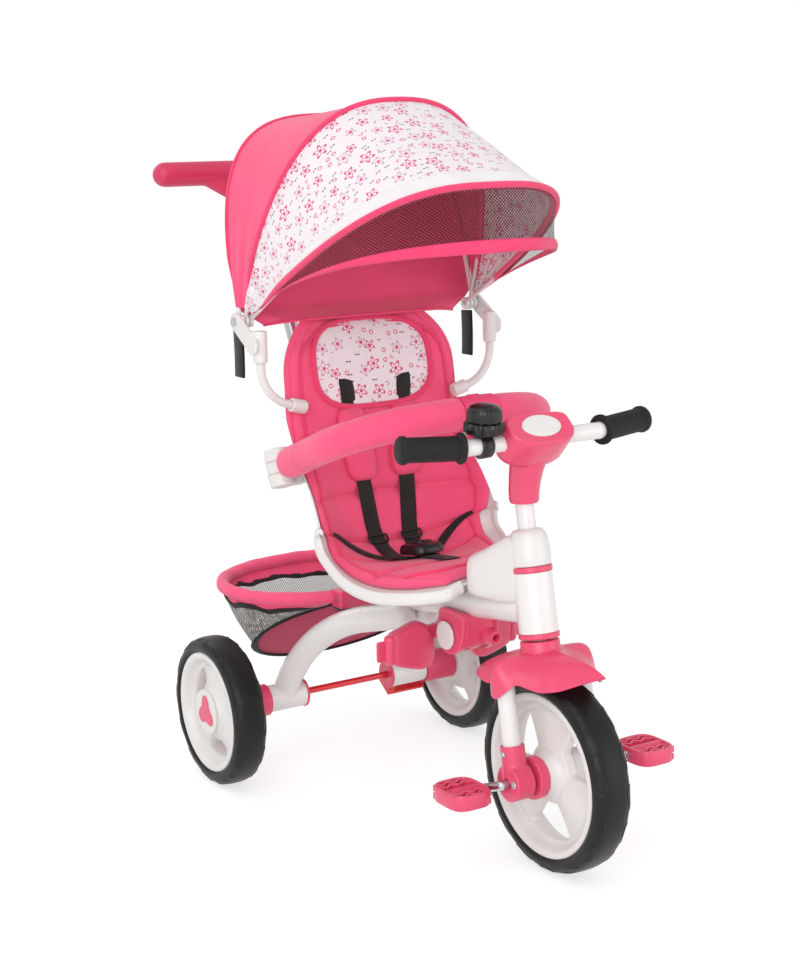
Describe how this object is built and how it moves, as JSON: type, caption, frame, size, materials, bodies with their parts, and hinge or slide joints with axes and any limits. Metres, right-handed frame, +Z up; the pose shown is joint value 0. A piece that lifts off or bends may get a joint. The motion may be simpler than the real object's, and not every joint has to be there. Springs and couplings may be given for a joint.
{
  "type": "toddler push along trike",
  "caption": "Toddler tricycle with pedal front wheel, padded bucket seat, opening foam guard rail, folding sun canopy, push handle, fold-away footrests and rear basket.",
  "frame": {"origin": "on the floor under the middle of the overall length and width", "axes": "+X forward, +Y to the trike's left, +Z up"},
  "size_m": [0.9374, 0.482, 0.9901],
  "materials": {
    "white_paint": "gloss",
    "white_plastic": "satin",
    "pink_plastic": "gloss",
    "crimson_plastic": "satin",
    "pink_cloth": "woven",
    "print_cloth": "woven",
    "pink_foam": "soft cover over foam",
    "black_webbing": "woven",
    "black_plastic": "satin",
    "grip_rubber": "matte",
    "tyre_black": "semi gloss",
    "net": "open mesh",
    "brake_red": "gloss",
    "brake_red_plastic": "gloss",
    "steel": "satin"
  },
  "bodies": {
    "frame": {"frame": "white_paint", "rear_legs": "white_paint", "frame_fasteners": "steel", "bearing_caps": "pink_plastic", "seat_shell": "white_plastic", "seat_brackets": "white_plastic", "seat_cushion": "pink_cloth", "harness_straps": "black_webbing", "shoulder_pads": "pink_cloth", "buckle_body": "black_plastic", "neck_cover": "white_plastic", "canopy_posts": "white_paint", "canopy_rear_bow": "white_paint", "canopy_top_panel": "pink_cloth", "canopy_back_panel": "pink_cloth", "canopy_straps": "black_webbing", "handle_lower_tube": "white_paint", "basket_rim": "pink_cloth", "basket_net": "net", "basket_brackets": "pink_plastic", "footrest_bracket": "pink_plastic", "footrest_pin": "white_plastic"},
    "steering": {"fork": "white_paint", "fork_ends": "pink_plastic", "mudguard": "pink_plastic", "handlebar": "white_paint", "handlebar_cover": "pink_plastic", "badge_plate": "white_plastic", "grips": "grip_rubber", "bell_body": "black_plastic"},
    "bell": {"bell_ring": "black_plastic"},
    "front_wheel": {"front_rim": "white_plastic", "front_tyre": "tyre_black"},
    "clutch": {"clutch_ring": "pink_plastic"},
    "crank_set": {"crank": "steel"},
    "right_pedal": {"pedal_right": "pink_plastic"},
    "left_pedal": {"pedal_left": "pink_plastic"},
    "rear_wheel_right": {"rear_rim_right": "white_plastic", "rear_tyre_right": "tyre_black", "brake_drum_right": "pink_plastic"},
    "rear_wheel_left": {"rear_rim_left": "white_plastic", "rear_tyre_left": "tyre_black", "brake_drum_left": "pink_plastic"},
    "brake": {"brake_rod": "brake_red", "brake_pedal": "brake_red_plastic"},
    "right_lock": {"lock_pin_right": "steel"},
    "left_lock": {"lock_pin_left": "steel"},
    "right_footrest": {"footrest_right": "pink_plastic"},
    "left_footrest": {"footrest_left": "pink_plastic"},
    "guard_right": {"guard_rail_right": "pink_foam"},
    "guard_left": {"guard_rail_left": "pink_foam", "guard_clip": "pink_plastic"},
    "clip_button": {"guard_button": "pink_plastic"},
    "harness_button": {"buckle_button": "black_plastic"},
    "canopy_mid": {"canopy_mid_bow": "white_paint", "canopy_front_panel": "print_cloth"},
    "canopy_front": {"canopy_front_bow": "white_paint", "canopy_visor": "net"},
    "push_handle": {"handle_upper_tube": "steel", "handle_grip": "crimson_plastic"}
  },
  "joints": [
    {"name": "steer", "type": "hinge", "parent": "frame", "child": "steering", "pos_m": [0.33867, 0, 0.13], "axis": [-0.1736, 0, 0.9848], "range_deg": [-35, 35]},
    {"name": "bell_twist", "type": "hinge", "parent": "steering", "child": "bell", "pos_m": [0.29812, -0.077, 0.56151], "axis": [0.0872, 0, 0.9962], "range_deg": [-25, 25], "stiffness_Nm_per_rad": 0.05},
    {"name": "front_wheel_spin", "type": "hinge", "parent": "steering", "child": "front_wheel", "pos_m": [0.33867, 0, 0.13], "axis": [0, 1, 0], "continuous": true},
    {"name": "clutch_shift", "type": "slide", "parent": "front_wheel", "child": "clutch", "axis": [0, -1, 0], "range_m": [0, 0.0035]},
    {"name": "crank_spin", "type": "hinge", "parent": "steering", "child": "crank_set", "pos_m": [0.33867, 0, 0.13], "axis": [0, 1, 0], "continuous": true},
    {"name": "pedal_right_spin", "type": "hinge", "parent": "crank_set", "child": "right_pedal", "pos_m": [0.30344, -0.121, 0.11577], "axis": [0, 1, 0], "continuous": true},
    {"name": "pedal_left_spin", "type": "hinge", "parent": "crank_set", "child": "left_pedal", "pos_m": [0.3739, 0.121, 0.14424], "axis": [0, 1, 0], "continuous": true},
    {"name": "rear_wheel_right_spin", "type": "hinge", "parent": "frame", "child": "rear_wheel_right", "pos_m": [-0.19933, -0.216, 0.111], "axis": [0, 1, 0], "continuous": true},
    {"name": "rear_wheel_left_spin", "type": "hinge", "parent": "frame", "child": "rear_wheel_left", "pos_m": [-0.19933, 0.216, 0.111], "axis": [0, 1, 0], "continuous": true},
    {"name": "brake_press", "type": "hinge", "parent": "frame", "child": "brake", "pos_m": [-0.19933, 0, 0.111], "axis": [0, -1, 0], "range_deg": [0, 18]},
    {"name": "lock_right", "type": "slide", "parent": "frame", "child": "right_lock", "axis": [0, -1, 0], "range_m": [0, 0.006]},
    {"name": "lock_left", "type": "slide", "parent": "frame", "child": "left_lock", "axis": [0, 1, 0], "range_m": [0, 0.006]},
    {"name": "footrest_right_fold", "type": "hinge", "parent": "frame", "child": "right_footrest", "pos_m": [0.13667, 0, 0.272], "axis": [0, -1, 0], "range_deg": [0, 90]},
    {"name": "footrest_left_fold", "type": "hinge", "parent": "frame", "child": "left_footrest", "pos_m": [0.13667, 0, 0.272], "axis": [0, -1, 0], "range_deg": [0, 90]},
    {"name": "guard_right_open", "type": "hinge", "parent": "frame", "child": "guard_right", "pos_m": [-0.08733, -0.16, 0.487], "axis": [0.342, 0, -0.9397], "range_deg": [0, 95]},
    {"name": "guard_left_open", "type": "hinge", "parent": "frame", "child": "guard_left", "pos_m": [-0.08733, 0.16, 0.487], "axis": [-0.342, 0, 0.9397], "range_deg": [0, 95]},
    {"name": "guard_button_press", "type": "slide", "parent": "guard_left", "child": "clip_button", "axis": [0.342, 0, -0.9397], "range_m": [0, 0.003], "stiffness_N_per_m": 300},
    {"name": "buckle_press", "type": "slide", "parent": "frame", "child": "harness_button", "axis": [0.1822, 0, -0.9833], "range_m": [0, 0.003], "stiffness_N_per_m": 300},
    {"name": "canopy_fold", "type": "hinge", "parent": "frame", "child": "canopy_mid", "pos_m": [-0.11933, 0, 0.694], "axis": [0, -1, 0], "range_deg": [0, 25], "deforming": ["canopy_top_panel"]},
    {"name": "canopy_front_fold", "type": "hinge", "parent": "canopy_mid", "child": "canopy_front", "pos_m": [-0.11933, 0, 0.694], "axis": [0, -1, 0], "range_deg": [0, 30], "deforming": ["canopy_front_panel"]},
    {"name": "handle_extend", "type": "slide", "parent": "frame", "child": "push_handle", "axis": [-0.4384, 0, 0.8988], "range_m": [-0.06, 0.08]}
  ],
  "couplings": [
    {"joint": "lock_right", "follows": "brake_press", "m_per_rad": 0.019094},
    {"joint": "lock_left", "follows": "brake_press", "m_per_rad": 0.019094},
    {"joint": "canopy_front_fold", "follows": "canopy_fold", "ratio": 1.2}
  ]
}
